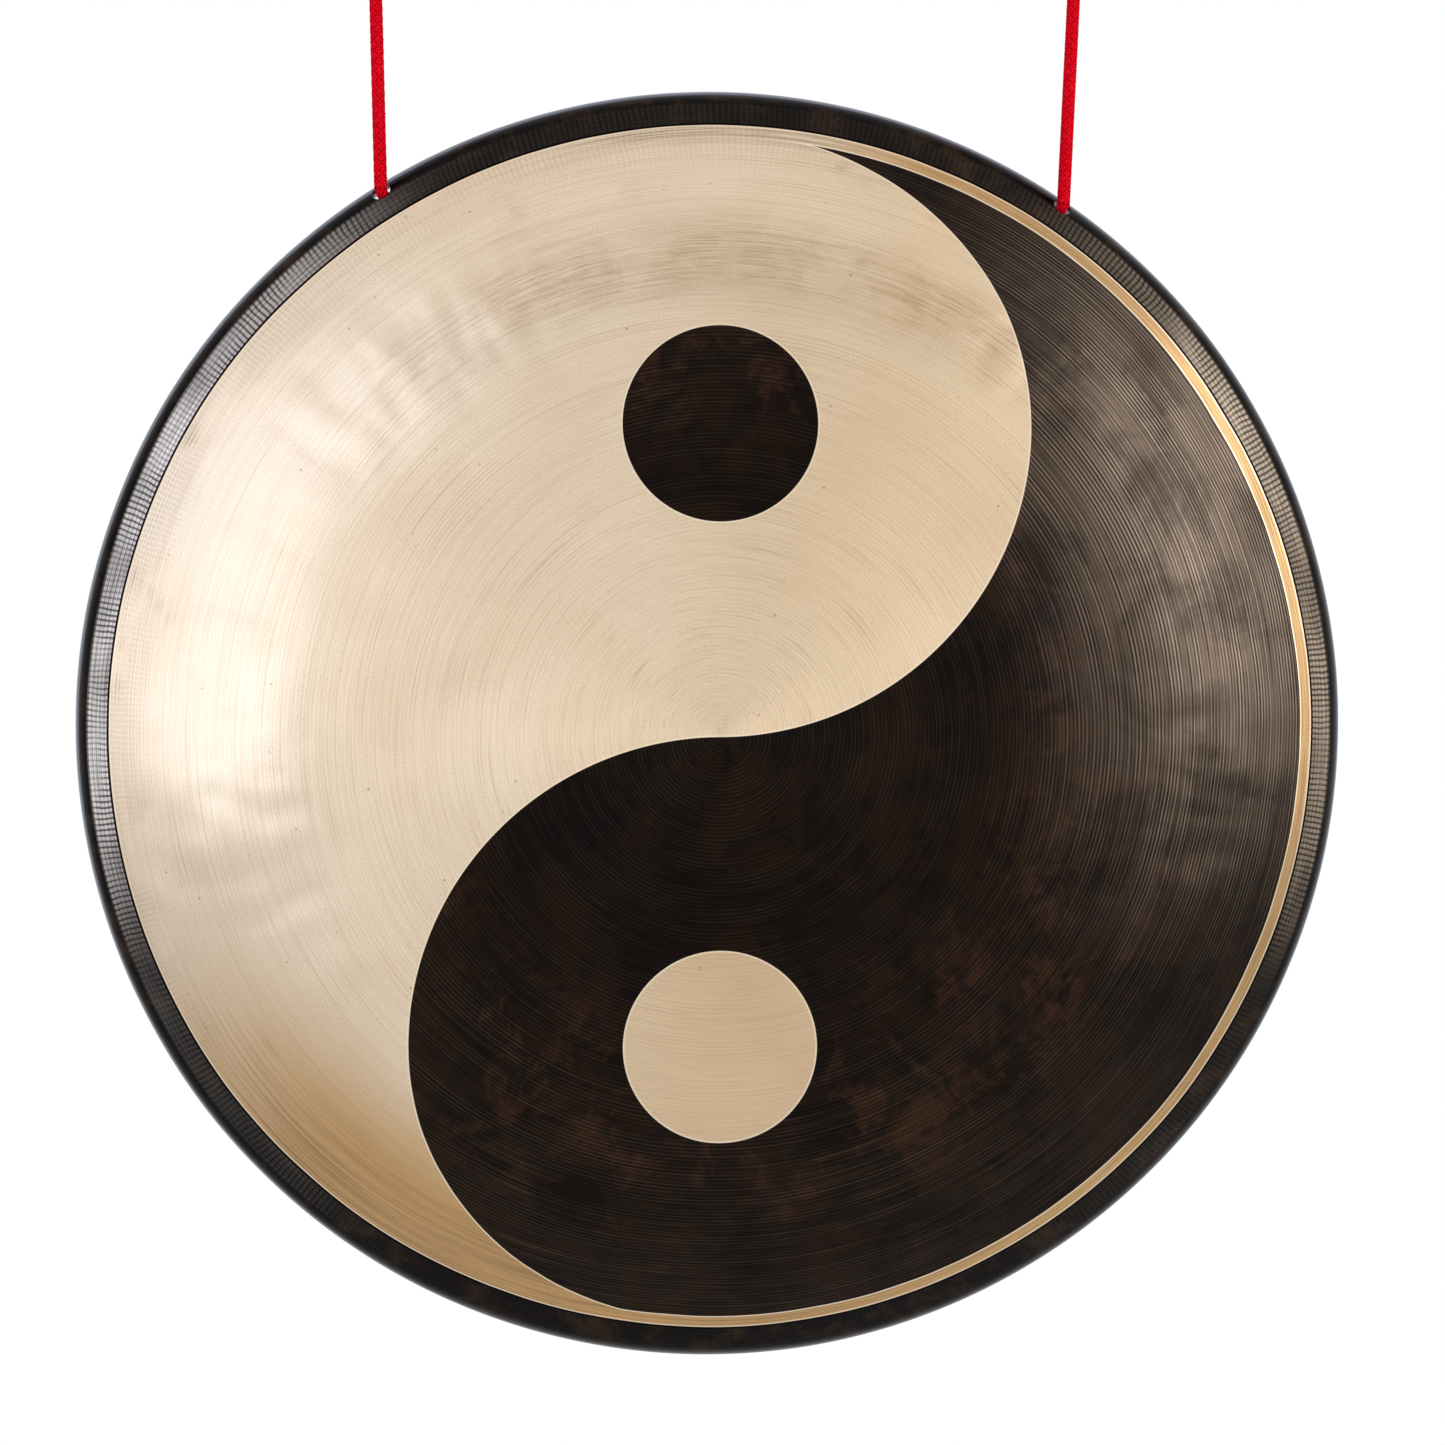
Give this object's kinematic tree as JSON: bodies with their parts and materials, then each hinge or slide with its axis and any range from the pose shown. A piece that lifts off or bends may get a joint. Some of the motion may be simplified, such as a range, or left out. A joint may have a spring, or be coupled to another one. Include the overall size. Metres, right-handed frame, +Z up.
{
  "type": "tam tam gong",
  "caption": "Hammered bronze tam-tam with a two-tone turned face, hanging on a red braided cord from screw hooks.",
  "frame": {"origin": "midway between the two hook studs, in the plane where their collars meet the beam above", "axes": "+Z up along the studs, the gong's face looks towards -Y, +X to the viewer's right"},
  "size_m": [0.6, 0.1243, 0.7606],
  "materials": {
    "bronze": "hammered bronze, lathe-turned bright areas beside dark fired skin, fine concentric grooves",
    "steel": "zinc-plated steel wire",
    "cord": "red round braided polyester cord, slightly fuzzy",
    "seal": "heat-sealed cord end, hard and dark red"
  },
  "bodies": {
    "hooks": {"hook_left": "steel", "hook_right": "steel"},
    "cord": {"cord_left": "cord", "cord_right": "cord", "knot_left": "cord", "knot_right": "cord", "tail_left": "cord", "tail_right": "cord", "tail_tip_left": "seal", "tail_tip_right": "seal"},
    "gong": {"gong_body": "bronze", "cord_crossing": "cord"}
  },
  "joints": [
    {"name": "cord_swing", "type": "hinge", "parent": "hooks", "child": "cord", "pos_m": [0, 0, -0.02714], "axis": [1, 0, 0], "range_deg": [-15, 15]},
    {"name": "gong_rock", "type": "hinge", "parent": "cord", "child": "gong", "pos_m": [0, 0, -0.195], "axis": [1, 0, 0], "range_deg": [-12, 12]}
  ]
}
